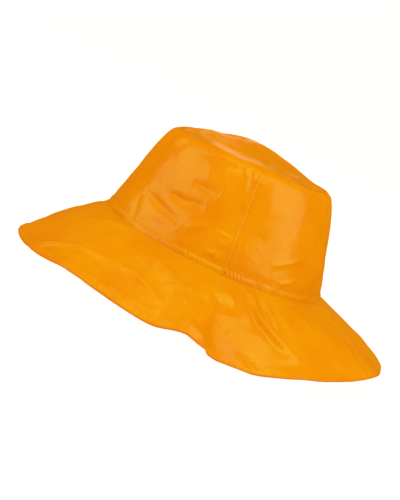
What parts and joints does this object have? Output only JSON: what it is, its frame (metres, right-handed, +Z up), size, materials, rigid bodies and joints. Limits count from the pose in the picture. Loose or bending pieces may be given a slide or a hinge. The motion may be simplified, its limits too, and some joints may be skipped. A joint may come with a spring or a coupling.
{
  "type": "rain hat",
  "caption": "Soft rain hat of glossy coated cloth: a tall sewn crown with a sunken oval tip, and a wide drooping brim with a wavy folded hem.",
  "frame": {"origin": "middle of the hat's outline on the surface that it stands on", "axes": "+Z up, -X towards the front of the hat, side seams at +Y and -Y"},
  "size_m": [0.3332, 0.2984, 0.1476],
  "materials": {
    "coated_cloth": "bright orange cloth with a smooth glossy waterproof coating, sewn in the same colour"
  },
  "bodies": {
    "root": {"crown_front_panel": "coated_cloth", "crown_back_panel": "coated_cloth", "crown_tip": "coated_cloth", "brim_front_panel": "coated_cloth", "brim_back_panel": "coated_cloth"}
  },
  "joints": []
}
